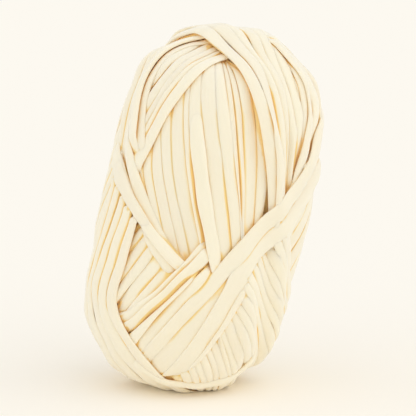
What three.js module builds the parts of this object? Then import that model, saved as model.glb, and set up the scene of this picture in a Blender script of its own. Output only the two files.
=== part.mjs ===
// A skein of t-shirt yarn: flat jersey yarn wound into a long ball with round ends, standing on one
// end with a slight lean. Millimetres, +Z up, +X to the right of its front, which faces -Y. The origin
// is the middle of the flat spot that it stands on.
//
// The skein is one solid: a rounded barrel with the runs of yarn laid over it. A run is a band of
// neighbouring turns. Each turn is close to flat, so a plane that cuts the barrel gives its course, and
// a run is given by the planes of its first and its last turn.

import * as THREE from 'three';

// Driving sizes
const LENGTH = 242;        // along the winding axis
const WIDTH = 131;         // across the front
const DEPTH = 122;         // front to back
const END_POWER = 3.8;     // how square the ends are: 2 is an ellipsoid
const LEAN_DEG = 11;       // the top leans to the right by this
const CENTRE_RISE = 115;   // middle of the barrel above the floor
const CENTRE_SHIFT = 14;   // middle of the barrel to the right of the flat spot's middle

// Yarn
const YARN_WIDTH = 8;      // flat width of one turn
const PLY = 1.3;           // how far each layer of turns stands above the one below
const CORE_INSET = 4.5;    // depth of the lowest layer under the outer size of the barrel
const RAMP = 7;            // width of the slope at the edge of a run
const LEAST_SLOPE = 0.2;   // keeps the distance to a turn finite where its plane only touches the barrel
const FADE_DEG = 14;       // where a run ends under another, it fades out over this much of its turn

// Mesh
const AROUND = 88;         // vertices round the winding axis
const ALONG = 54;          // rings between the two ends
const OUTLINE_STEPS = 2000; // steps along the outline for spacing the rings

// The runs, in the order in which they are laid. A plane is [heading, tilt, offset]: which way it faces,
// in degrees round the winding axis from the right side (-90 is the front), how far it faces up, in
// degrees, and its distance from the middle of the barrel. An arc is the stretch of a turn that the run
// keeps, in degrees round the turn from its highest point, for the first and for the last turn.
const RUNS = [
  { name: 'front', layer: 1, turns: 8, first: [-74, 20, 36], last: [2, 19, 22] },
  { name: 'right of front', layer: 1, turns: 3, first: [-11, 19, 33], last: [78, 4, -40] },
  { name: 'upper left crossing', layer: 2, turns: 4, first: [-38, -18, -17], last: [-9, -30, -84] },
  { name: 'upper left rim', layer: 3, turns: 2, first: [-99, 21, 60], last: [-105, 14, 40],
    arcs: [[-45, 62], [-45, 62]] },
  { name: 'upper right', layer: 3, turns: 7, first: [39, 17, 4], last: [29, 10, 43] },
  { name: 'upper right rim', layer: 4, turns: 2, first: [-69, 22, 68], last: [-75, 12, 52],
    arcs: [[258, 350], [258, 350]] },
  { name: 'lower right', layer: 2, turns: 14, first: [4, 26, 48], last: [31, 42, -71],
    arcs: [[98, 290], [118, 290]] },
  { name: 'lower left', layer: 2, turns: 4, first: [-27, -32, 1], last: [27, -21, -24],
    arcs: [[100, 300], [130, 300]] },
  { name: 'left crossing', layer: 3, turns: 3, first: [-9, 53, -27], last: [-53, 38, 19],
    arcs: [[-90, 124], [-60, 145]] },
  { name: 'short diagonal', layer: 4, turns: 3, first: [8, -31, 1], last: [1, -27, 22],
    arcs: [[103, 190], [102, 190]] },
  { name: 'right edge', layer: 4, turns: 2, first: [50, -43, 1], last: [62, -55, 1],
    arcs: [[-120, 88], [-100, 80]] },
  { name: 'folded turn, upper', layer: 5, turns: 2, first: [20, -36, 19], last: [26, -40, 17],
    arcs: [[-120, 108], [-120, 86]] },
  { name: 'folded turn, lower', layer: 5, turns: 2, first: [14, -18, 17], last: [34, -16, 11],
    arcs: [[110, 190], [98, 190]] },
  { name: 'long diagonal', layer: 6, turns: 2, first: [37, -34, -5], last: [8, -36, 28] },
  { name: 'left rim, upper', layer: 5, turns: 4, first: [-60, -5, 22], last: [-62, -13, -6],
    arcs: [[93, 137], [85, 145]] },
  { name: 'left rim, lower', layer: 5, turns: 4, first: [-30, 39, -51], last: [-28, 31, -82],
    arcs: [[124, 215], [141, 215]] },
  { name: 'bottom rim', layer: 6, turns: 1, first: [99, -9, -23], last: [99, -9, -12],
    arcs: [[130, 200], [130, 200]] },
];

const HALF_LENGTH = LENGTH / 2;
const COURSE = RUNS.flatMap(turnsOf);

// Radius of the barrel at a height, as a share of its radius in the middle.
function roundness(height) {
  return Math.sqrt(Math.max(0, 1 - Math.abs(height / HALF_LENGTH) ** END_POWER));
}

// Point of the barrel's surface at a height and an angle round the axis.
function barrelPoint(height, angle) {
  const radius = roundness(height);
  const x = (WIDTH / 2) * radius * Math.cos(angle);
  const y = (DEPTH / 2) * radius * Math.sin(angle);
  return new THREE.Vector3(x, y, height);
}

// Outward direction of the barrel at a point of its surface.
function barrelNormal(point) {
  const endSlope = (END_POWER / HALF_LENGTH) * Math.abs(point.z / HALF_LENGTH) ** (END_POWER - 1);
  return new THREE.Vector3(
    (2 * point.x) / (WIDTH / 2) ** 2,
    (2 * point.y) / (DEPTH / 2) ** 2,
    Math.sign(point.z) * endSlope,
  ).normalize();
}

// Values part of the way from one list of numbers to another.
function between(first, last, share) {
  return first.map((value, i) => THREE.MathUtils.lerp(value, last[i], share));
}

// The turns of one run, spread evenly from its first plane to its last.
function turnsOf(run) {
  const arcs = run.arcs ?? [[0, 360], [0, 360]];
  return Array.from({ length: run.turns }, (_, index) => {
    const share = (index + 0.5) / run.turns;
    const [heading, tilt, offset] = between(run.first, run.last, share);
    const [start, end] = between(arcs[0], arcs[1], share);
    const flat = Math.cos(THREE.MathUtils.degToRad(tilt));
    const normal = new THREE.Vector3(
      flat * Math.cos(THREE.MathUtils.degToRad(heading)),
      flat * Math.sin(THREE.MathUtils.degToRad(heading)),
      Math.sin(THREE.MathUtils.degToRad(tilt)),
    );
    const top = new THREE.Vector3(0, 0, 1).addScaledVector(normal, -normal.z).normalize();
    const side = new THREE.Vector3().crossVectors(normal, top);
    return { normal, offset, top, side, start, end, whole: !run.arcs, layer: run.layer };
  });
}

// How much of a turn's layer stands at a point of the barrel, from 0 to 1.
function cover(turn, point, outward) {
  const slope = Math.max(LEAST_SLOPE, Math.sqrt(1 - turn.normal.dot(outward) ** 2));
  const across = Math.abs(turn.normal.dot(point) - turn.offset) / slope;
  const beside = 1 - THREE.MathUtils.smoothstep(across, YARN_WIDTH / 2, YARN_WIDTH / 2 + RAMP);
  if (turn.whole || beside === 0) {
    return beside;
  }
  const round = THREE.MathUtils.radToDeg(Math.atan2(turn.side.dot(point), turn.top.dot(point)));
  const middle = (turn.start + turn.end) / 2;
  const away = Math.abs(THREE.MathUtils.euclideanModulo(round - middle + 180, 360) - 180);
  const half = (turn.end - turn.start) / 2;
  return beside * (1 - THREE.MathUtils.smoothstep(away, half - FADE_DEG, half + FADE_DEG));
}

// Height of the yarn over the lowest layer at a point of the barrel.
function relief(point, outward) {
  const layers = COURSE.map((turn) => turn.layer * cover(turn, point, outward));
  return PLY * Math.max(0, ...layers);
}

// Heights of the rings, at equal steps along the barrel's outline from the lower end to the upper.
function ringHeights() {
  const outline = Array.from({ length: OUTLINE_STEPS + 1 }, (_, i) => {
    const height = -HALF_LENGTH * Math.cos((Math.PI * i) / OUTLINE_STEPS);
    return new THREE.Vector2((WIDTH / 2) * roundness(height), height);
  });
  const lengths = [0];
  for (let i = 1; i <= OUTLINE_STEPS; i += 1) {
    lengths.push(lengths[i - 1] + outline[i].distanceTo(outline[i - 1]));
  }
  return Array.from({ length: ALONG }, (_, ring) => {
    const target = (lengths[OUTLINE_STEPS] * (ring + 1)) / (ALONG + 1);
    return outline[lengths.findIndex((length) => length >= target)].y;
  });
}

// A point of the barrel with the yarn laid on it, leaned over and pressed flat where it meets the floor.
function skeinPoint(point) {
  const outward = barrelNormal(point);
  const raised = point.clone().addScaledVector(outward, relief(point, outward) - CORE_INSET);
  raised.applyAxisAngle(new THREE.Vector3(0, 1, 0), THREE.MathUtils.degToRad(LEAN_DEG));
  raised.add(new THREE.Vector3(CENTRE_SHIFT, 0, CENTRE_RISE));
  raised.z = Math.max(0, raised.z);
  return raised;
}

// The closed surface: the lower end, the rings, and the upper end.
function skeinGeometry() {
  const points = [skeinPoint(new THREE.Vector3(0, 0, -HALF_LENGTH))];
  for (const height of ringHeights()) {
    for (let i = 0; i < AROUND; i += 1) {
      points.push(skeinPoint(barrelPoint(height, (2 * Math.PI * i) / AROUND)));
    }
  }
  points.push(skeinPoint(new THREE.Vector3(0, 0, HALF_LENGTH)));

  const faces = [];
  const at = (ring, i) => 1 + ring * AROUND + (i % AROUND);
  for (let i = 0; i < AROUND; i += 1) {
    faces.push(0, at(0, i + 1), at(0, i));
    for (let ring = 0; ring < ALONG - 1; ring += 1) {
      faces.push(at(ring, i), at(ring, i + 1), at(ring + 1, i + 1));
      faces.push(at(ring, i), at(ring + 1, i + 1), at(ring + 1, i));
    }
    faces.push(at(ALONG - 1, i), at(ALONG - 1, i + 1), points.length - 1);
  }

  const geometry = new THREE.BufferGeometry().setFromPoints(points);
  geometry.setIndex(faces);
  geometry.computeVertexNormals();
  return geometry;
}

const yarn = new THREE.MeshStandardMaterial({ color: 0xf7ecd0, roughness: 0.95, metalness: 0 });

const skein = new THREE.Mesh(skeinGeometry(), yarn);
skein.name = 'skein';

const group = new THREE.Group();
group.add(skein);

export default group;
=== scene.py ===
"""A skein of t-shirt yarn: flat jersey yarn wound into a long ball with round ends, standing on one end.

The ball is wound here turn by turn. Each turn is close to flat, so a plane that cuts the barrel gives its
course. A map of the barrel keeps how high the yarn stands so far. Every turn is pulled tight over what
lies under it, gets a soft flattened section, and is added to the map before the next turn is laid.

The file is laid out as an add-on and is run as a script. Tables are in millimetres and degrees, in the
barrel's own frame: X to the right of its front, Y away from the front, Z along the winding axis.
"""

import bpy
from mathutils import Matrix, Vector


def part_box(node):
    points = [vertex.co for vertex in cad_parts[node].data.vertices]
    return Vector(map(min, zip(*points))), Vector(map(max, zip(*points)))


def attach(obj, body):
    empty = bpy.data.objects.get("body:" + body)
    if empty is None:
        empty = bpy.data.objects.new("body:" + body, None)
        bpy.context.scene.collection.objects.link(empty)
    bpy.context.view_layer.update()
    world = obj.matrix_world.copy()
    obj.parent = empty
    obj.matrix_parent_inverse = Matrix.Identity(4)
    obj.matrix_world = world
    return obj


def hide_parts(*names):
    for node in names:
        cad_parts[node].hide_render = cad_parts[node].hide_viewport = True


bl_info = {
    "name": "T-shirt Yarn Skein",
    "version": (1, 0, 0),
    "blender": (4, 5, 0),
    "location": "3D View > Sidebar > Skein",
    "description": "Winds a skein of flat jersey yarn and sets up its floor, lamps and camera",
    "category": "Add Mesh",
}

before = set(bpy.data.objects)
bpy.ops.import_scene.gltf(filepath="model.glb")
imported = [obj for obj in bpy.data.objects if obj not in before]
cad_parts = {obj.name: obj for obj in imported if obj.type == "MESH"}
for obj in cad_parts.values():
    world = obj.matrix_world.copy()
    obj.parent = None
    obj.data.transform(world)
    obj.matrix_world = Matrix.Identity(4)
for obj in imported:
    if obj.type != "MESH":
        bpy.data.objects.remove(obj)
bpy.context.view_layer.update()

import functools
import math

import bpy
import numpy as np
from bpy.props import FloatProperty, FloatVectorProperty, IntProperty, PointerProperty
from mathutils import Vector

NODE = "skein"
BODY = "root"
MM = 0.001

# The runs of yarn that show, in the order in which they are laid. A run is a band of neighbouring turns:
#   widths  width of each of its turns, mm
#   first   plane of the band's first edge, as heading, tilt and offset: which way it faces round the
#   last    winding axis (0 is right, -90 is the front), how far it faces up, and its distance from the
#           middle of the barrel; last is the plane of the band's other edge
#   arcs    the stretch that each turn keeps, in degrees round the turn from its highest point, for the
#           first edge and for the last; a run without it goes all the way round
#   under   planes of the turns that cover its two ends; an end stops at the middle of that turn
#   tuck    mm over which its two ends dip
#   enter   planes that the turns follow before their main ones, for the first edge and for the last
#   bent    planes that the turns follow after their main ones
#   bend    mm on each side of where such planes cross over which they bend
#   sunk    mm that the turns lie lower than the turns that are laid beside them
#   dip     how far its two ends dip, in thicknesses of the yarn
#   spread  most that its turns may widen, for their own width; if they bend, before that and after
#   squeeze least that its turns may narrow to, for their own width
#   fill    width of its turns for the room that they have
#   give    how far its turns sink into hollows, from taut 0 to slack 1
#   square  how square the section of its turns is; 2 is an ellipse
#   plain   a coarser mesh does for its turns, as on the back
RUNS = (
    dict(name="back", widths=(8.0,) * 24, plain=True,
         first=(15, 19, 30), last=(195, 19, 30)),
    dict(name="front", square=2.5, widths=(7.7, 7.7, 7.7, 7.4, 9.0, 3.9, 8.4, 9.7, 7.7),
         first=(-83.5, 20, 38), last=(2, 19, 22)),
    dict(name="right_of_front", widths=(9.3,),
         first=(26, 12, -1), last=(45, 10, -12)),
    dict(name="front_recess", widths=(4.0, 4.0), sunk=0.9,
         first=(2, 19, 22), last=(26, 12, -1)),
    dict(name="right_recess", widths=(8.0,), sunk=0.2,
         first=(45, 10, -12), last=(62, 6, -24)),
    dict(name="upper_left_crossing", widths=(8.0, 3.5, 4.5, 5.5, 5.5),
         first=(-39.5, -17.4, -15.6), last=(-9, -30, -84), arcs=((-120, 110), (-120, 110)),
         under=(None, (-69, 33, 22)), tuck=(20, 14)),
    dict(name="upper_left_inner", widths=(7.5,), sunk=1.2, tuck=(12, 18),
         first=(-96, 19, 50), last=(-96, 19, 58), arcs=((-60, 126), (-60, 126))),
    dict(name="upper_left_rim", sunk=-0.4, widths=(6.5, 6.5, 6.5, 6.5), tuck=(12, 18),
         first=(-96, 19, 55), last=(-96, 19, 29), arcs=((-88, 116), (-88, 140))),
    dict(name="upper_right_fill", widths=(8.0, 8.0),
         first=(37, 21, 12), last=(38, 14, 16)),
    dict(name="upper_right_edge", widths=(6.5,),
         first=(40, 17, 2), last=(34, 23, 23)),
    dict(name="upper_right", widths=(6.5, 6.5, 5.8, 5.8, 5.8, 6.0),
         first=(39, 15, 7), last=(35, 7, 33)),
    dict(name="upper_right_rim", widths=(6.0, 6.5, 6.0), tuck=(14, 12),
         first=(64, -5, -17), last=(125, -32, -75.5), arcs=((8, 70), (0, 157))),
    dict(name="lower_right", widths=(3.3, 3.1, 3.2, 3.0, 3.1, 3.3, 3.1),
         first=(22.9, 27.4, 34.6), last=(53, 42.5, -30.2), arcs=((112, 250), (69, 265)),
         under=((14, -37.5, 25.5), None), tuck=(5, 30), dip=2.0, spread=3, fill=1.17),
    dict(name="lower_right_end",
         widths=(5.0, 4.5, 4.5, 4.4, 4.6, 5.1, 3.7, 2.6, 4.6, 3.1, 3.7, 3.7, 3.6, 4.6, 4.6, 4.6, 4.6),
         first=(53, 42.5, -30.2), last=(19, 37.9, -83.3), arcs=((69, 265), (116, 240)),
         under=((32, -15, 3.5), None), tuck=(5, 30), dip=2.0, spread=3, fill=1.12),
    dict(name="lower_left", widths=(7.5, 7.5, 7.5, 7.9, 6.5, 8.2, 9.7), under=((-42, 52, 0), None),
         first=(-100.3, -39.7, 48.5), last=(26.7, -23.1, -20.7), arcs=((26, 242), (130, 270)),
         tuck=(5, 30), dip=2.2),
    dict(name="left_crossing_top", widths=(10.0,), tuck=(28, 12), sunk=1.5,
         first=(-69, 33, 31.5), last=(-69, 33, 22), arcs=((58, 161), (58, 161))),
    dict(name="left_crossing", widths=(8.5,), tuck=(28, 12),
         first=(-59, 49, 14), last=(-25, 55, -15.5), arcs=((38, 153), (32, 123))),
    dict(name="sunk_diagonal", widths=(8.0, 8.0, 8.0, 8.0), tuck=(8, 14), sunk=1.0,
         first=(25, -27, -18), last=(-8, -30, 36), arcs=((112, 190), (92, 190))),
    dict(name="short_diagonal", widths=(6.6,), tuck=(11, 14), dip=2.8, under=((-15, 18, 21), None),
         first=(9, -30.6, 0.6), last=(3, -33.2, 14.4), arcs=((100, 185), (95, 185))),
    dict(name="short_diagonal_lower", widths=(9.2,), tuck=(11, 14), dip=2.8, under=((-15, 18, 21), None),
         first=(-30.7, -31.1, 44.3), last=(-6, -28.5, 29), arcs=((60, 175), (98, 190))),
    dict(name="diagonal_recess", widths=(5.0,), tuck=(16, 14), sunk=-1.3, spread=2.2,
         first=(3, -33.2, 14.4), last=(-30.7, -31.1, 44.3), arcs=((98, 185), (64, 178))),
    dict(name="front_over", widths=(8.4,), tuck=(45, 12), dip=1.15, sunk=1.0,
         first=(-29.9, 19.4, 28), last=(-19.5, 19.3, 26), arcs=((40, 152), (40, 152))),
    dict(name="lower_middle", widths=(10.3,), tuck=(9, 14),
         first=(-11.5, -30, 41.6), last=(15, -22, 24.5), arcs=((75, 200), (75, 200))),
    dict(name="right_edge", widths=(7.0,), sunk=2.4,
         first=(8, -31, 36), last=(8, -31, 42), arcs=((-100, 52), (-100, 52))),
    dict(name="folded_turn", widths=(8.0,), bend=20, spread=(1.35, 1.7), give=0.6, sunk=1.1,
         first=(23, -38, 13.6), last=(5, -37, 37.5), bent=((14, -18, 15.6), (50, -12, -10)),
         arcs=((-111, 202), (-112, 201))),
    dict(name="fold", widths=(6.0,), tuck=(20, 14), sunk=1.3,
         first=(32.5, -15.5, 6.5), last=(50, -12, -10), arcs=((112, 202), (112, 202))),
    dict(name="long_diagonal", widths=(9.2,), bend=25, squeeze=1.03, spread=(1.55, 1.15), give=0.8, sunk=0.5,
         enter=((2.3, -8.4, 43), (2.3, -8.4, 55)), first=(48, -36, -18.5), last=(23, -38, 14),
         bent=((-9, -29, 32), (-11.5, -29.7, 41.6)), arcs=((-130, 205), (-130, 205))),
    dict(name="left_rim", widths=(6.2, 7.6, 7.6, 6.4, 6.0), bend=30, under=((-42, 52, -2), None),
         tuck=(5, 14), fill=0.97,
         first=(-67, -6, 30), last=(-61.4, -13.7, -9.6), bent=((-32, 38, -49), (-27.8, 30.2, -85)),
         arcs=((85, 232), (85, 268))),
    dict(name="left_crossing_over", widths=(8.5,), tuck=(25, 25), dip=1.2, sunk=1.5,
         first=(-59, 49, 14), last=(-25, 55, -15.5), arcs=((48, 128), (48, 98))),
    dict(name="bottom_rim", widths=(4.2,), sunk=0.8, square=2.2,
         first=(99, -9, -23), last=(99, -9, -19), arcs=((150, 199), (150, 199))),
)

# The turns under them, which close the ball: full turns fanned round the winding axis.
#   turns   number of them
#   tilt    how far their planes face up
#   offset  distance of their planes from the middle of the barrel, mm
#   level   height of the underside of these turns over the barrel's surface, mm
INNER_FANS = (
    dict(name="inner_fan", turns=26, tilt=4, offset=3, level=-11.0),
    dict(name="middle_fan", turns=26, tilt=15, offset=8, level=-8.5),
    dict(name="outer_fan", turns=26, tilt=24, offset=-6, level=-6.0),
)
INNER_WIDTH = 9.0  # mm, width of one of these turns


# ---------------------------------------------------------------- sizes and colours


class SkeinSizes(bpy.types.PropertyGroup):
    """Sizes of the wound barrel and of its yarn."""

    length: FloatProperty(
        name="Length", description="Barrel's size along the winding axis",
        default=0.242, unit="LENGTH")
    width: FloatProperty(
        name="Width", description="Barrel's size across its front", default=0.131, unit="LENGTH")
    depth: FloatProperty(
        name="Depth", description="Barrel's size from front to back", default=0.122, unit="LENGTH")
    end_power: FloatProperty(
        name="End Power", description="How square the ends are; 2 is an ellipsoid", default=3.8)
    lean: FloatProperty(
        name="Lean", description="How far the top leans to the right",
        default=math.radians(12), unit="ROTATION")
    rise: FloatProperty(
        name="Rise", description="Height of the barrel's middle above the floor",
        default=0.115, unit="LENGTH")
    thickness: FloatProperty(
        name="Yarn Thickness", description="Thickness of the flattened yarn",
        default=0.0031, unit="LENGTH")
    squareness: FloatProperty(
        name="Yarn Squareness", description="How square the yarn's section is; 2 is an ellipse",
        default=2.15)
    give: FloatProperty(
        name="Give", description="How far the yarn sinks into hollows, from taut 0 to slack 1",
        default=0.3, subtype="FACTOR")
    seed: IntProperty(
        name="Seed", description="Start of the random unevenness of the turns", default=4)


class SkeinColours(bpy.types.PropertyGroup):
    """Colours of the yarn, of the painted warm shade in its grooves, and of the floor."""

    yarn: FloatVectorProperty(
        name="Yarn", description="Cream of the jersey", default=(0.95, 0.87, 0.70),
        size=3, min=0, max=1, subtype="COLOR")
    # Painted shade: a warmer, darker cream mixed into the yarn's colour in the grooves between turns. It
    # stands in for the light that bounces and glows there.
    painted_groove_shade: FloatVectorProperty(
        name="Hollows", description="Warmer shade of the jersey where turns press together",
        default=(0.96, 0.70, 0.28), size=3, min=0, max=1, subtype="COLOR")
    floor: FloatVectorProperty(
        name="Floor", description="Off-white of the floor and the surroundings",
        default=(0.985, 0.95, 0.875), size=3, min=0, max=1, subtype="COLOR")


# ---------------------------------------------------------------- barrel and height map


FARTHEST = 2.5        # how far away the surface is looked for, in halves of the barrel's longest size
HALVINGS = 34         # times that stretch is halved to find it
SETTLE_ROUNDS = 3     # steps that bring a point near the surface onto it
BLUR_REACH = 3        # how far a blur reaches, in its own sigma


class Barrel:
    """The rounded barrel that the yarn is wound on, in millimetres about its own middle."""

    def __init__(self, length, width, depth, power):
        self.half = np.array([width, depth, length]) / 2
        self.power = power

    def excess(self, points):
        """Below 0 inside the barrel, 0 on its surface, above 0 outside."""
        share = points / self.half
        ends = np.abs(share[..., 2]) ** self.power
        return share[..., 0] ** 2 + share[..., 1] ** 2 + ends - 1

    def slope(self, points):
        """Gradient of excess."""
        share = points / self.half
        ends = self.power * np.sign(share[..., 2]) * np.abs(share[..., 2]) ** (self.power - 1)
        return np.stack([2 * share[..., 0], 2 * share[..., 1], ends], -1) / self.half

    def normals(self, points):
        return unit(self.slope(points))

    def reach(self, start, direction):
        """Points of the surface that lie in a direction from a start inside the barrel."""
        near = np.zeros(direction.shape[:-1])
        far = near + FARTHEST * self.half.max()
        for _ in range(HALVINGS):
            middle = (near + far) / 2
            inside = self.excess(start + direction * middle[..., None]) < 0
            near = np.where(inside, middle, near)
            far = np.where(inside, far, middle)
        return start + direction * near[..., None]

    def settle(self, points):
        """Points near the surface moved onto it."""
        for _ in range(SETTLE_ROUNDS):
            slope = self.slope(points)
            points = points - slope * (self.excess(points) / (slope**2).sum(-1))[..., None]
        return points


class HeightMap:
    """A value for each part of the barrel, on a grid over each of the six sides of a cube round it.

    Where the grid is edged, its outer points lie on the cube's edges, so that reading is smooth across
    them; otherwise its points are the middles of cells, which suits adding to it.
    """

    def __init__(self, barrel, count, level, edged=False):
        self.barrel = barrel
        self.count = count
        self.inset = 0.0 if edged else 0.5
        self.scale = (count - 1 + 2 * self.inset) / 2
        self.value = np.full((6, count, count), float(level))

    def place(self, points):
        """Side of the cube, and place on its grid, for points of the barrel."""
        share = points / self.barrel.half
        axis = np.abs(share).argmax(-1)
        main, across, up = (
            np.take_along_axis(share, ((axis + step) % 3)[..., None], -1)[..., 0] for step in range(3)
        )
        size = np.abs(main)
        grid = [(part / size + 1) * self.scale - self.inset for part in (across, up)]
        return 2 * axis + (main > 0), grid[0], grid[1]

    def points(self, side, across, up):
        """Points of the barrel for places on the grid of one side."""
        share = np.zeros(across.shape + (3,))
        axis = side // 2
        share[..., axis] = 1 if side % 2 else -1
        share[..., (axis + 1) % 3] = (across + self.inset) / self.scale - 1
        share[..., (axis + 2) % 3] = (up + self.inset) / self.scale - 1
        return self.barrel.reach(np.zeros(3), unit(share * self.barrel.half))

    def read(self, points):
        side, across, up = self.place(points)
        last = self.count - 1
        across, up = np.clip(across, 0, last), np.clip(up, 0, last)
        i, j = np.minimum(across.astype(int), last - 1), np.minimum(up.astype(int), last - 1)
        a, b = across - i, up - j
        value = self.value
        return (
            value[side, i, j] * (1 - a) * (1 - b) + value[side, i + 1, j] * a * (1 - b)
            + value[side, i, j + 1] * (1 - a) * b + value[side, i + 1, j + 1] * a * b
        )

    def raise_to(self, points, heights):
        """Lifts the cells under some points to at least their heights."""
        side, across, up = self.place(points)
        last = self.count - 1
        i = np.clip(np.rint(across).astype(int), 0, last)
        j = np.clip(np.rint(up).astype(int), 0, last)
        np.maximum.at(self.value, (side, i, j), heights)


def unit(vectors):
    return vectors / np.linalg.norm(vectors, axis=-1, keepdims=True)


def ease(share):
    """Smooth step from 0 to 1."""
    share = np.clip(share, 0, 1)
    return share * share * (3 - 2 * share)


def soften(values, sigma, closed=False):
    """Values along a line, blurred over sigma steps."""
    reach = max(1, int(BLUR_REACH * sigma))
    weights = np.exp(-0.5 * (np.arange(-reach, reach + 1) / sigma) ** 2)
    padded = np.pad(values, reach, mode="wrap" if closed else "edge")
    return np.convolve(padded, weights / weights.sum(), mode="valid")


# ---------------------------------------------------------------- course of a turn


STEP = 1.0             # mm between the points at which a turn is laid
LEAST_STEPS = 8        # fewest steps in a line
CUT_STEPS = 720        # steps in which a plane's cut is first taken
FRONT = 90             # angle round most turns at which they pass the front
OVERRUN = 40           # degrees by which the pieces of a bent turn overlap
LINE_REACH = 200       # mm to each side over which the line that two planes share is followed
LINE_POINTS = 4001     # places along it
LEAST_LEAN = 0.15      # keeps the distance to an edge finite where its plane only touches the barrel
SPREAD_HASTE = 4       # the larger, the faster a turn that bends changes how far it may widen

# What holds for a run that doesn't say otherwise
FILL = 1.08            # width of a turn for the room that it has
SQUEEZE_LEAST = 0.45   # narrowest that a turn is squeezed to between its neighbours
SPREAD_MOST = 1.6      # widest that it spreads where they leave room
TUCKS = (12.0, 12.0)   # mm over which a turn's two ends dip under what covers them
TUCK_DEPTH = 1.8       # how far they dip, in thicknesses of the yarn


def between(first, last, share):
    return np.array(first, float) * (1 - share) + np.array(last, float) * share


def plane_parts(plane, barrel):
    """A plane's normal, its upward and sideways directions, and the middle of its cut."""
    heading, tilt, offset = math.radians(plane[0]), math.radians(plane[1]), plane[2]
    normal = np.array([
        math.cos(tilt) * math.cos(heading), math.cos(tilt) * math.sin(heading), math.sin(tilt)])
    top = unit(np.array([0, 0, 1]) - normal * normal[2])
    side = np.cross(normal, top)
    stretched = normal * barrel.half**2
    return normal, top, side, stretched * (offset / (normal @ stretched))


def cut_points(plane, barrel, start, end):
    """Where a plane cuts the barrel, from one angle round the cut to another."""
    _, top, side, middle = plane_parts(plane, barrel)
    angle = np.radians(np.linspace(start, end, CUT_STEPS + 1))[:, None]
    return barrel.reach(middle, np.cos(angle) * top + np.sin(angle) * side)


def angle_on(plane, barrel, point, near):
    """Angle round the cut of a point on it, as the one closest to near."""
    _, top, side, middle = plane_parts(plane, barrel)
    angle = math.degrees(math.atan2((point - middle) @ side, (point - middle) @ top))
    return near + (angle - near + 180) % 360 - 180


def crossings(plane, other, barrel):
    """The two points of the barrel where two planes' cuts cross, the one nearer its front first."""
    normals = [plane_parts(each, barrel)[0] for each in (plane, other)]
    along = unit(np.cross(*normals))
    along = along if along[1] < 0 else -along
    start = np.linalg.solve(np.array([*normals, along]), [plane[2], other[2], 0])
    steps = np.linspace(-LINE_REACH, LINE_REACH, LINE_POINTS)
    inside = np.flatnonzero(barrel.excess(start + along * steps[:, None]) < 0)
    if not len(inside):
        raise ValueError(f"The cuts of {plane} and {other} do not cross")
    return start + along * steps[inside[-1]], start + along * steps[inside[0]]


def covered_at(plane, cover, barrel, near):
    """Angle round a cut at which another turn covers it, as the one closest to near."""
    angles = [angle_on(plane, barrel, point, near) for point in crossings(plane, cover, barrel)]
    return min(angles, key=lambda angle: abs(angle - near))


def even_steps(points, closed):
    """The same line with its points about STEP apart; a closed one ends where it begins."""
    lengths = np.concatenate([[0], np.cumsum(np.linalg.norm(np.diff(points, axis=0), axis=1))])
    count = max(LEAST_STEPS, round(lengths[-1] / STEP))
    places = np.linspace(0, lengths[-1], count + 1)[: count if closed else count + 1]
    return np.stack([np.interp(places, lengths, points[:, i]) for i in range(3)], 1)


def joined(early, late, point, bend, barrel):
    """Follows one line to a point and then another from there, eased over the bend."""
    before = (np.arange(len(early)) - np.linalg.norm(early - point, axis=1).argmin()) * STEP
    beyond = (np.arange(len(late)) - np.linalg.norm(late - point, axis=1).argmin()) * STEP
    places = np.arange(before[0], beyond[-1], STEP)
    share = ease(places / (2 * bend) + 0.5)[:, None]
    on_early, on_late = (
        np.stack([np.interp(places, at, line[:, i]) for i in range(3)], 1)
        for at, line in ((before, early), (beyond, late))
    )
    return even_steps(barrel.settle(on_early * (1 - share) + on_late * share), False)


def bent_course(planes, barrel, start, end, bend):
    """Follows some planes' cuts in turn, each to where it crosses the next at the front."""
    points = [crossings(*pair, barrel)[0] for pair in zip(planes[:-1], planes[1:])]
    line = None
    for index, plane in enumerate(planes):
        first = angle_on(plane, barrel, points[index - 1], FRONT) - OVERRUN if index else start
        last = angle_on(plane, barrel, points[index], FRONT) + OVERRUN if index < len(points) else end
        piece = even_steps(cut_points(plane, barrel, first, last), False)
        line = joined(line, piece, points[index - 1], bend, barrel) if index else piece
    return line


def band_shares(widths):
    """Where the edges of a run's turns lie across its band, from 0 to 1."""
    edges = np.concatenate([[0], np.cumsum(widths)])
    return edges / edges[-1]


def turn_course(run, share, barrel):
    """The line that a turn follows, for its place across the band."""
    plane = between(run["first"], run["last"], share)
    if "arcs" not in run:
        return even_steps(cut_points(plane, barrel, 0, 360), True)
    planes = [between(*run[key], share) for key in ("enter", "bent") if key in run]
    planes.insert(1 if "enter" in run else 0, plane)
    start, end = between(*run["arcs"], share)
    covers = run.get("under", (None, None))
    if covers[0]:
        start = covered_at(planes[0], covers[0], barrel, start)
    if covers[1]:
        end = covered_at(planes[-1], covers[1], barrel, end)
    return bent_course(planes, barrel, start, end, run.get("bend"))


def room_between(points, edges, barrel):
    """Distance across a turn from one edge of its place to the other, by the planes of those edges."""
    normals = barrel.normals(points)
    total = np.zeros(len(points))
    for plane in edges:
        normal = plane_parts(plane, barrel)[0]
        lean = np.maximum(LEAST_LEAN, np.sqrt(np.clip(1 - (normals @ normal) ** 2, 0, 1)))
        total += np.abs(points @ normal - plane[2]) / lean
    return total


def room_between_lines(points, edges):
    """The same, by the lines that those edges follow."""
    apart = [np.linalg.norm(points[:, None] - edge[None], axis=-1).min(1) for edge in edges]
    return apart[0] + apart[1]


def spread_along(points, run, share, barrel):
    """How far a turn that bends may widen, at each of its points."""
    off = []
    for plane in (between(run["first"], run["last"], share), between(*run["bent"], share)):
        off.append(np.abs(points @ plane_parts(plane, barrel)[0] - plane[2]))
    early, late = run.get("spread", (SPREAD_MOST, SPREAD_MOST))
    return early + (late - early) * ease((off[0] - off[1]) * SPREAD_HASTE / run["bend"] + 0.5)


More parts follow.
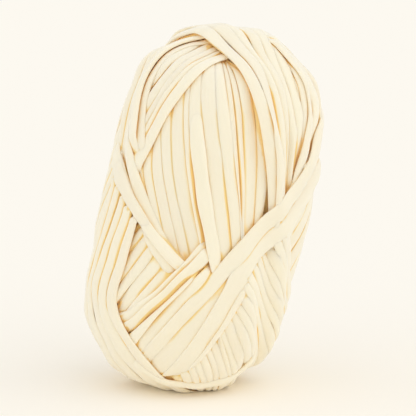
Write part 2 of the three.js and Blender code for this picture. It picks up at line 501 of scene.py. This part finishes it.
def run_turns(run, barrel):
    """The course and the width of each turn of a run, and how it is laid."""
    shares = band_shares(run["widths"])
    turns = []
    for first, last, width in zip(shares[:-1], shares[1:], run["widths"]):
        points = turn_course(run, (first + last) / 2, barrel)
        if "bent" in run:
            room = room_between_lines(points, [turn_course(run, share, barrel) for share in (first, last)])
            spread = spread_along(points, run, (first + last) / 2, barrel)
        else:
            edges = [between(run["first"], run["last"], share) for share in (first, last)]
            room = room_between(points, edges, barrel)
            spread = run.get("spread", SPREAD_MOST)
        turns.append(dict(
            points=points, closed="arcs" not in run, width=width, room=room, spread=spread, level=None,
            tuck=run.get("tuck", TUCKS), dip=run.get("dip", TUCK_DEPTH), sunk=run.get("sunk", 0),
            fill=run.get("fill", FILL), squeeze=run.get("squeeze", SQUEEZE_LEAST),
            give=run.get("give"), square=run.get("square")))
    return turns


def fan_turns(fan, barrel):
    """Full turns at even headings round the winding axis, all at one level."""
    turns = []
    for index in range(fan["turns"]):
        plane = (360 * index / fan["turns"], fan["tilt"], fan["offset"])
        points = even_steps(cut_points(plane, barrel, 0, 360), True)
        turns.append(dict(
            points=points, closed=True, width=INNER_WIDTH, room=None, level=fan["level"], square=None))
    return turns


# ---------------------------------------------------------------- laying a turn


FEEL = np.linspace(-1, 1, 7)    # places across a turn at which it feels what lies under it
FEEL_INSET = 1.7                # mm in from its edges up to which it does
FEEL_SHARES = (0.35, 0.72)      # least and most of its half width to which that comes
SPLAT = np.linspace(-1, 1, 25)  # places across a turn at which it is added to the map
THIN_LEAST = 0.4                # thinnest that a turn is pressed where turns crowd together
THIN_SLOPE = 1.5                # share of its thickness that it keeps, for each share of its width that fits
END_NARROWING = 0.15            # share of its width that a turn loses at an end

# Steps along a turn over which these are blurred
CROWD_BLUR = 6                  # its room
CURVE_BLUR = 4                  # its curve
SLACK_BLUR = 5                  # its height where it is slack
TRACK_BLUR = 3                  # its height as it is laid

# Unevenness of the turns: its size, and the most waves that each of its parts has along a turn
WAVE_PARTS = 3                  # parts that are added up
WIDTH_WAVES = (0.03, 5)         # share of the width
THICKNESS_WAVES = (0.07, 6)     # share of the thickness
ROLL_WAVES = (0.04, 4)          # slope across the turn
DRIFT_WAVES = (0.15, 5)         # mm to the side
ROLL = 0.05                     # slope across a whole turn, by which turns differ


def wander(rng, count, closed, size, most_waves):
    """Uneven value along a turn, from a few slow waves."""
    places = np.linspace(0, 2 * math.pi, count, endpoint=not closed)
    total = np.zeros(count)
    for _ in range(WAVE_PARTS):
        waves = int(rng.integers(1, most_waves + 1))
        total += math.sqrt(2 / WAVE_PARTS) * np.sin(waves * places + rng.uniform(0, 2 * math.pi))
    return size * total


def taut(heights, bend, closed):
    """Height of a line pulled tight over some heights, on ground that bends away by bend for each mm.

    Less the ground's own curve, a tight line is the lowest one above the heights that never turns up.
    """
    count = len(heights)
    if closed:
        heights, bend = np.tile(heights, 3), np.tile(bend, 3)
    curve = np.cumsum(np.cumsum(bend)) * STEP * STEP
    line = heights - curve
    kept = []
    for i, value in enumerate(line):
        while len(kept) > 1:
            a, b = kept[-2], kept[-1]
            if (line[b] - line[a]) * (i - b) > (value - line[b]) * (b - a):
                break
            kept.pop()
        kept.append(i)
    pulled = np.interp(np.arange(len(line)), kept, line[kept]) + curve
    return pulled[count: 2 * count] if closed else pulled


def lay_turn(turn, barrel, ground, rng, settings):
    """Lays one turn: works out its width, thickness and height, and adds it to the ground."""
    points, closed = turn["points"], turn["closed"]
    count = len(points)
    turn["square"] = turn["square"] or settings["squareness"]
    ahead = np.roll(points, -1, 0) - np.roll(points, 1, 0) if closed else np.gradient(points, axis=0)
    ahead = unit(ahead)
    normals = barrel.normals(points)
    side = unit(np.cross(ahead, normals))

    width = turn["width"] * (1 + wander(rng, count, closed, *WIDTH_WAVES))
    thickness = settings["thickness"] * (1 + wander(rng, count, closed, *THICKNESS_WAVES))
    roll = ROLL * rng.normal() + wander(rng, count, closed, *ROLL_WAVES)
    drift = wander(rng, count, closed, *DRIFT_WAVES)
    tone = rng.normal()
    if turn["room"] is not None:
        crowd = soften(turn["room"] / turn["width"], CROWD_BLUR, closed)
        width = width * np.clip(turn["fill"] * crowd, turn["squeeze"], turn["spread"])
        thickness = thickness * np.clip(THIN_SLOPE * crowd, THIN_LEAST, 1)
    points = barrel.settle(points + side * drift[:, None])
    half = width / 2

    if turn["level"] is None:
        felt_out = np.clip(1 - FEEL_INSET / half, *FEEL_SHARES)
        felt_at = points[:, None] + side[:, None] * ((half * felt_out)[:, None] * FEEL)[..., None]
        felt = ground.read(felt_at)
        turning = np.gradient(ahead, axis=0) if not closed else (
            (np.roll(ahead, -1, 0) - np.roll(ahead, 1, 0)) / 2)
        bend = soften(np.clip(-(turning * normals).sum(1) / STEP, 0, None), CURVE_BLUR, closed)
        give = turn["give"] or settings["give"]
        tracks = []
        for part in (felt[:, :3], felt[:, 2:5], felt[:, 4:]):  # its left, its middle and its right
            highest = part.max(1)
            slack = soften(highest, SLACK_BLUR, closed)
            tight = taut(highest, bend, closed)
            tracks.append(soften(tight + (slack - tight) * give, TRACK_BLUR, closed))
        left, middle, right = tracks
        middle = np.maximum(middle, (left + right) / 2)
        left, middle, right = left - turn["sunk"], middle - turn["sunk"], right - turn["sunk"]
    else:
        felt_out = FEEL_SHARES[1]
        left = middle = right = np.full(count, turn["level"])

    if not closed:
        from_end = np.minimum(np.arange(count), np.arange(count)[::-1]) * STEP
        lengths = np.where(np.arange(count) < count / 2, *turn["tuck"])
        out = ease(from_end / lengths)
        drop = settings["thickness"] * turn["dip"] * (1 - out)
        left, middle, right = left - drop, middle - drop, right - drop
        half = half * (1 - END_NARROWING + END_NARROWING * out)

    tilt = (right - left) / (2 * felt_out) + roll * half
    bow = np.minimum((left + right) / 2 - middle, 0) / felt_out**2
    turn.update(points=points, side=side, half=half, thickness=thickness, base=middle, tilt=tilt,
                bow=bow, tone=tone)

    across = SPLAT[None] * half[:, None]
    top = strand_height(turn, np.arange(count), SPLAT[None])
    ground.raise_to(points[:, None] + side[:, None] * across[..., None], top)


def strand_height(turn, rows, share, level=None):
    """Height of a strand's surface at a share across its width, at a level from 0, under, to 1, top."""
    base = turn["base"][rows][:, None] + turn["tilt"][rows][:, None] * share
    base = base + turn["bow"][rows][:, None] * np.clip(np.abs(share), 0, 1) ** 2
    if level is None:
        power = turn["square"]
        level = 0.5 + 0.5 * np.clip(1 - np.abs(share) ** power, 0, 1) ** (1 / power)
    return base + turn["thickness"][rows][:, None] * level


# ---------------------------------------------------------------- whole ball


MAP_CELLS = 176            # cells along each side of the height map
EVEN_NODES = 31            # points along each side of the map that evens the ball
EVEN_EVERY = 4             # cells of the height map from one that counts in that to the next
EVEN_REACH = 9.0           # mm over which the ball's height is evened
CREST = 1.5                # mm; the smaller, the more the highest turns count in that
LEAST_RINGS = 6            # fewest rings that a strand has
# These set how deep a groove is taken to be, and the material paints warm shade by that depth.
GROOVE_REACH = (1.2, 2.4)  # mm to each side at which the walls of a groove are looked for
GROOVE_BLUR = 1.2          # rings along a strand over which the depth of a groove is blurred
HIDDEN_DEPTH = 2.2         # mm under the highest turn from which a surface counts as covered
HIDDEN_GROOVE = 0.6        # mm; depth of a groove that a covered surface counts as
FULLNESS = 2.2             # mm that the turns stand over the barrel's sides on the whole
FOOT_SOFTNESS = 1.5        # mm over which turns are pressed flat on the floor


def evening_map(barrel, ground):
    """How far the ball stands over the barrel on the whole, by broad averages of the height map."""
    steps = np.arange(0, ground.count, EVEN_EVERY, dtype=float)
    across, up = np.meshgrid(steps, steps, indexing="ij")
    places = [ground.points(side, across, up).reshape(-1, 3) for side in range(6)]
    heights = np.concatenate([ground.read(place) for place in places])
    places = np.concatenate(places)
    even = HeightMap(barrel, EVEN_NODES, 0, edged=True)
    steps = np.arange(EVEN_NODES, dtype=float)
    across, up = np.meshgrid(steps, steps, indexing="ij")
    for side in range(6):
        nodes = even.points(side, across, up).reshape(-1, 3)
        apart = ((nodes[:, None] - places[None]) ** 2).sum(-1)
        weights = np.exp(-0.5 * apart / EVEN_REACH**2)
        tops = np.log((weights @ np.exp(heights / CREST)) / weights.sum(1)) * CREST
        even.value[side] = tops.reshape(across.shape)
    return even


@functools.lru_cache(maxsize=2)
def wound_ball(length, width, depth, power, thickness, squareness, give, seed):
    """Every turn of the ball, laid in order, with the maps that its surface needs."""
    barrel = Barrel(length, width, depth, power)
    settings = dict(thickness=thickness, squareness=squareness, give=give)
    rng = np.random.default_rng(seed)
    ground = HeightMap(barrel, MAP_CELLS, INNER_FANS[0]["level"])
    ball = {}
    for fan in INNER_FANS:
        ball[fan["name"]] = fan_turns(fan, barrel)
    for run in RUNS:
        ball[run["name"]] = run_turns(run, barrel)
    for turns in ball.values():
        for turn in turns:
            lay_turn(turn, barrel, ground, rng, settings)
    even = evening_map(barrel, ground)
    return dict(turns=ball, barrel=barrel, even=even, ground=ground)


def ball_of(sizes):
    return wound_ball(
        sizes.length / MM, sizes.width / MM, sizes.depth / MM, sizes.end_power,
        sizes.thickness / MM, sizes.squareness, sizes.give, sizes.seed)


def groove_depth(feet, side, height, ground):
    """How far a surface lies below the yarn on both sides of it."""
    walls = []
    for way in (-1, 1):
        walls.append(np.maximum.reduce([ground.read(feet + side * (way * reach)) for reach in GROOVE_REACH]))
    hidden = ground.read(feet) - height > HIDDEN_DEPTH
    return np.where(hidden, HIDDEN_GROOVE, np.minimum(*walls) - height)


def strand_mesh(turn, ball, ring_step, sides):
    """Vertices, faces and surface values of one turn, as a tube of flattened section."""
    barrel = ball["barrel"]
    count, closed = len(turn["points"]), turn["closed"]
    rings = max(LEAST_RINGS, round(count * STEP / ring_step))
    rows = np.rint(np.linspace(0, count - 1, rings + (1 if closed else 0))).astype(int)
    rows = rows[:-1] if closed else rows

    power = 2 / turn["square"]
    angle = 2 * math.pi * (np.arange(sides) + 0.5) / sides
    share = (np.sign(np.cos(angle)) * np.abs(np.cos(angle)) ** power)[None]
    level = (0.5 + 0.5 * np.sign(np.sin(angle)) * np.abs(np.sin(angle)) ** power)[None]
    across = share * turn["half"][rows][:, None]
    height = strand_height(turn, rows, share, level)
    feet = turn["points"][rows][:, None] + turn["side"][rows][:, None] * across[..., None]
    feet = barrel.settle(feet)
    normals = barrel.normals(feet)
    stand = height - ball["even"].read(feet) + FULLNESS * np.hypot(normals[..., 0], normals[..., 1])
    place = feet + normals * stand[..., None]
    # Depth of the groove beside each point, which the material turns into painted warm shade.
    sunk = groove_depth(feet, turn["side"][rows][:, None], height, ball["ground"])
    sunk = np.apply_along_axis(soften, 0, sunk, GROOVE_BLUR, closed)

    values = np.stack([across, np.broadcast_to(rows[:, None] * STEP, across.shape), sunk], -1)
    ring = np.arange(len(rows) if closed else len(rows) - 1)[:, None]
    corner = np.arange(sides)[None]
    after, beside = (ring + 1) % len(rows), (corner + 1) % sides
    faces = np.stack([
        ring * sides + corner, ring * sides + beside, after * sides + beside, after * sides + corner], -1)
    return place.reshape(-1, 3), faces.reshape(-1, 4), values.reshape(-1, 3), closed


def end_caps(first, rings, sides):
    """Faces that close the two ends of an open strand."""
    start = list(range(first, first + sides))[::-1]
    end = list(range(first + (rings - 1) * sides, first + rings * sides))
    return [start, end]


def stand_up(points, sizes):
    """From the barrel's frame to the part's: leaned over, set on the floor and pressed flat there."""
    low, high = (np.array(corner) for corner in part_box(NODE))
    sine, cosine = math.sin(sizes.lean), math.cos(sizes.lean)
    x, y, z = points.T * MM
    leaned = np.stack([x * cosine + z * sine, y, z * cosine - x * sine], 1)
    leaned += [(low[0] + high[0]) / 2, (low[1] + high[1]) / 2, sizes.rise]
    soft = FOOT_SOFTNESS * MM
    up = leaned[:, 2]
    leaned[:, 2] = np.where(up > soft, up, soft * np.exp(np.minimum(up / soft - 1, 0)))
    return leaned


def build_piece(name, context, ring_step, sides):
    """One mesh for all the turns of a run."""
    sizes = context.scene.skein_sizes
    ball = ball_of(sizes)
    points, faces, values, tones, caps = [], [], [], [], []
    first = 0
    for index, turn in enumerate(ball["turns"][name]):
        place, quads, value, closed = strand_mesh(turn, ball, ring_step, sides)
        points.append(place)
        faces.append(quads + first)
        values.append(value)
        tones.append(np.full(len(place), turn["tone"]))
        if not closed:
            caps += end_caps(first, len(place) // sides, sides)
        first += len(place)
    points = stand_up(np.concatenate(points), sizes)
    mesh = bpy.data.meshes.new(name)
    mesh.from_pydata(points.tolist(), [], np.concatenate(faces).tolist() + caps)
    mesh.polygons.foreach_set("use_smooth", np.ones(len(mesh.polygons), bool))
    lay = mesh.attributes.new("lay", "FLOAT_VECTOR", "POINT")
    lay.data.foreach_set("vector", np.concatenate(values).astype(np.float32).ravel())
    tone = mesh.attributes.new("tone", "FLOAT", "POINT")
    tone.data.foreach_set("value", np.concatenate(tones).astype(np.float32))
    mesh.update()
    piece = bpy.data.objects.new("yarn_" + name, mesh)
    context.scene.collection.objects.link(piece)
    mesh.materials.append(yarn_material(context.scene.skein_colours))
    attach(piece, BODY)
    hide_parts(NODE)
    return piece


# ---------------------------------------------------------------- materials


# How fast the creases in the cloth change, for each mm
CREASES_ACROSS = 1.1   # across a strand
CREASES_ALONG = 0.07   # along it


def node_of(tree, kind, place, **settings):
    node = tree.nodes.new(kind)
    node.location = place
    for name, value in settings.items():
        setattr(node, name, value)
    return node


def set_inputs(node, values):
    for name, value in values.items():
        node.inputs[name].default_value = value


def yarn_material(colours):
    """Brushed cotton jersey: matt, with faint lengthwise creases, and painted warm shade in the grooves
    where turns press together.
    """
    material = bpy.data.materials.get("cotton_jersey")
    if material:
        return material
    material = bpy.data.materials.new("cotton_jersey")
    material.use_nodes = True
    tree = material.node_tree
    shader = tree.nodes["Principled BSDF"]
    set_inputs(shader, {
        "Roughness": 0.92,
        "Specular IOR Level": 0.15,
        "Sheen Weight": 0.4,
        "Sheen Roughness": 0.5,
        "Subsurface Weight": 0.4,
        "Subsurface Radius": (1.0, 1.0, 1.0),
        "Subsurface Scale": 0.0015,
    })
    link = tree.links.new

    lay = node_of(tree, "ShaderNodeAttribute", (-1400, 200), attribute_name="lay")
    split = node_of(tree, "ShaderNodeSeparateXYZ", (-1200, 200))
    link(lay.outputs["Vector"], split.inputs[0])

    # Painted shade: the deeper the groove, the further the colour goes towards the warm groove shade. This
    # stands in for the light that bounces and glows between the turns.
    sunk = node_of(tree, "ShaderNodeMapRange", (-1000, 300), interpolation_type="SMOOTHSTEP")
    set_inputs(sunk, {"From Min": 0.08, "From Max": 0.75})
    link(split.outputs["Z"], sunk.inputs["Value"])

    tone = node_of(tree, "ShaderNodeAttribute", (-1400, 500), attribute_name="tone")
    warm = node_of(tree, "ShaderNodeMapRange", (-1200, 500))
    set_inputs(warm, {"From Min": -2.5, "From Max": 2.5, "To Min": 0.97, "To Max": 1.03})
    link(tone.outputs["Fac"], warm.inputs["Value"])

    # Mixes the yarn's own cream with the painted groove shade.
    colour = node_of(tree, "ShaderNodeMix", (-700, 300), data_type="RGBA")
    set_inputs(colour, {"A": (*colours.yarn, 1), "B": (*colours.painted_groove_shade, 1)})
    link(sunk.outputs["Result"], colour.inputs["Factor"])
    shaded = node_of(tree, "ShaderNodeMix", (-400, 300), data_type="RGBA", blend_type="MULTIPLY")
    set_inputs(shaded, {"Factor": 1})
    link(colour.outputs["Result"], shaded.inputs["A"])
    link(warm.outputs["Result"], shaded.inputs["B"])
    link(shaded.outputs["Result"], shader.inputs["Base Color"])

    along = node_of(tree, "ShaderNodeCombineXYZ", (-1000, -100))
    for axis, scale, node_x in (("X", CREASES_ACROSS, -1200), ("Y", CREASES_ALONG, -1100)):
        times = node_of(tree, "ShaderNodeMath", (node_x, -100), operation="MULTIPLY")
        times.inputs[1].default_value = scale
        link(split.outputs[axis], times.inputs[0])
        link(times.outputs[0], along.inputs[axis])
    link(tone.outputs["Fac"], along.inputs["Z"])
    creases = node_of(tree, "ShaderNodeTexNoise", (-800, -100))
    set_inputs(creases, {"Scale": 1.0, "Detail": 3.0})
    link(along.outputs[0], creases.inputs["Vector"])
    bump = node_of(tree, "ShaderNodeBump", (-400, -100))
    set_inputs(bump, {"Strength": 0.35, "Distance": 0.0006})
    link(creases.outputs["Fac"], bump.inputs["Height"])
    link(bump.outputs["Normal"], shader.inputs["Normal"])
    return material


def floor_material(colours):
    """Smooth matt paper."""
    material = bpy.data.materials.new("paper_floor")
    material.use_nodes = True
    shader = material.node_tree.nodes["Principled BSDF"]
    set_inputs(shader, {"Base Color": (*colours.floor, 1), "Roughness": 1.0, "Specular IOR Level": 0.0})
    return material


# ---------------------------------------------------------------- stage


FLOOR_SIZE = 24.0            # m
CAMERA_DISTANCE = 1.5        # m
CAMERA_HEIGHT_DEG = 10.0     # how far the camera looks down
VIEW_WIDTH = 0.2684          # m across the view at the skein
VIEW_OFFSET = (2.3, 1.3)     # mm, view's middle to the right of and above the skein's
SENSOR = 36.0                # mm
CLIP_END = 50.0              # m
LIGHT_BOUNCES = 8            # between matt surfaces, so that light reaches into the grooves

# Suns: direction that the light comes from, in degrees round from the front to the right and up
LAMPS = (
    dict(name="key", around=60, up=42, strength=0.55, spread=80),
    dict(name="fill", around=-65, up=38, strength=0.35, spread=90),
)
SURROUND = 0.81              # brightness of the pale room


def add_floor(scene, colours):
    mesh = bpy.data.meshes.new("floor")
    half = FLOOR_SIZE / 2
    corners = [(-half, -half, 0), (half, -half, 0), (half, half, 0), (-half, half, 0)]
    mesh.from_pydata(corners, [], [(0, 1, 2, 3)])
    mesh.materials.append(floor_material(colours))
    floor = bpy.data.objects.new("floor", mesh)
    scene.collection.objects.link(floor)


def add_sun(scene, lamp):
    light = bpy.data.lights.new(lamp["name"], "SUN")
    light.energy = lamp["strength"]
    light.angle = math.radians(lamp["spread"])
    sun = bpy.data.objects.new(lamp["name"], light)
    around, up = math.radians(lamp["around"]), math.radians(lamp["up"])
    source = Vector((
        math.sin(around) * math.cos(up), -math.cos(around) * math.cos(up), math.sin(up)))
    sun.rotation_euler = source.to_track_quat("Z", "Y").to_euler()
    scene.collection.objects.link(sun)


def add_room(scene, colours):
    """A room of soft white light that shows as the floor's own colour."""
    world = bpy.data.worlds.new("pale_room")
    scene.world = world
    world.use_nodes = True
    tree = world.node_tree
    background = tree.nodes["Background"]
    set_inputs(background, {"Color": (1, 1, 1, 1), "Strength": SURROUND})
    plain = node_of(tree, "ShaderNodeBackground", (0, -200))
    set_inputs(plain, {"Color": (*colours.floor, 1), "Strength": 1.0})
    path = node_of(tree, "ShaderNodeLightPath", (-200, 200))
    mix = node_of(tree, "ShaderNodeMixShader", (200, 0))
    output = tree.nodes["World Output"]
    seen = node_of(tree, "ShaderNodeMath", (0, 200), operation="MAXIMUM")
    clear = node_of(tree, "ShaderNodeMath", (100, 200), operation="MAXIMUM")
    link = tree.links.new
    link(path.outputs["Is Camera Ray"], seen.inputs[0])
    link(path.outputs["Is Glossy Ray"], seen.inputs[1])
    link(seen.outputs[0], clear.inputs[0])
    link(path.outputs["Is Transmission Ray"], clear.inputs[1])
    link(clear.outputs[0], mix.inputs[0])
    link(background.outputs[0], mix.inputs[1])
    link(plain.outputs[0], mix.inputs[2])
    link(mix.outputs[0], output.inputs["Surface"])


def add_camera(scene):
    """A camera in front of the skein, a little above it and looking down."""
    low, high = (Vector(corner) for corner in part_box(NODE))
    middle = (low + high) / 2
    middle.z = scene.skein_sizes.rise
    data = bpy.data.cameras.new("camera")
    data.sensor_width = SENSOR
    data.lens = SENSOR * CAMERA_DISTANCE / VIEW_WIDTH
    data.clip_end = CLIP_END
    camera = bpy.data.objects.new("camera", data)
    down = math.radians(CAMERA_HEIGHT_DEG)
    upward = Vector((0, math.sin(down), math.cos(down)))
    target = middle + VIEW_OFFSET[0] * MM * Vector((1, 0, 0)) + VIEW_OFFSET[1] * MM * upward
    camera.location = target + CAMERA_DISTANCE * Vector((0, -math.cos(down), math.sin(down)))
    camera.rotation_euler = (math.radians(90) - down, 0, 0)
    scene.collection.objects.link(camera)
    scene.camera = camera


# ---------------------------------------------------------------- operators


# Fineness of the strands: mm between the rings of one, and corners of its section
HIDDEN_MESH = dict(ring_step=5.0, sides=10)
PLAIN_MESH = dict(ring_step=4.0, sides=12)
FINE_MESH = dict(ring_step=2.5, sides=18)


class SKEIN_OT_wind_inner(bpy.types.Operator):
    """Wind the hidden turns that close the ball"""

    bl_idname = "skein.wind_inner"
    bl_label = "Wind Inner Turns"

    def execute(self, context):
        for fan in INNER_FANS:
            build_piece(fan["name"], context, **HIDDEN_MESH)
        return {"FINISHED"}


class SKEIN_OT_wind_runs(bpy.types.Operator):
    """Wind the runs of yarn that show"""

    bl_idname = "skein.wind_runs"
    bl_label = "Wind Outer Runs"

    def execute(self, context):
        for run in RUNS:
            build_piece(run["name"], context, **(PLAIN_MESH if run.get("plain") else FINE_MESH))
        return {"FINISHED"}


class SKEIN_OT_set_stage(bpy.types.Operator):
    """Set up the floor, the lamps and the camera"""

    bl_idname = "skein.set_stage"
    bl_label = "Set Stage"

    def execute(self, context):
        scene, colours = context.scene, context.scene.skein_colours
        add_floor(scene, colours)
        for lamp in LAMPS:
            add_sun(scene, lamp)
        add_room(scene, colours)
        add_camera(scene)
        scene.view_settings.view_transform = "Standard"
        scene.cycles.diffuse_bounces = LIGHT_BOUNCES
        return {"FINISHED"}


class SKEIN_PT_panel(bpy.types.Panel):
    """Buttons and sizes of the yarn skein"""

    bl_label = "Yarn Skein"
    bl_idname = "SKEIN_PT_panel"
    bl_space_type = "VIEW_3D"
    bl_region_type = "UI"
    bl_category = "Skein"

    def draw(self, context):
        column = self.layout.column()
        for group in (context.scene.skein_sizes, context.scene.skein_colours):
            for name in group.__annotations__:
                column.prop(group, name)
        for operator in OPERATORS:
            column.operator(operator.bl_idname)


OPERATORS = (SKEIN_OT_wind_inner, SKEIN_OT_wind_runs, SKEIN_OT_set_stage)
CLASSES = (SkeinSizes, SkeinColours, *OPERATORS, SKEIN_PT_panel)


def register():
    for each in CLASSES:
        bpy.utils.register_class(each)
    bpy.types.Scene.skein_sizes = PointerProperty(type=SkeinSizes)
    bpy.types.Scene.skein_colours = PointerProperty(type=SkeinColours)


def unregister():
    del bpy.types.Scene.skein_colours
    del bpy.types.Scene.skein_sizes
    for each in reversed(CLASSES):
        bpy.utils.unregister_class(each)


def main():
    register()
    bpy.ops.skein.wind_inner()
    bpy.ops.skein.wind_runs()
    bpy.ops.skein.set_stage()
    bpy.context.view_layer.update()


if __name__ == "__main__":
    main()
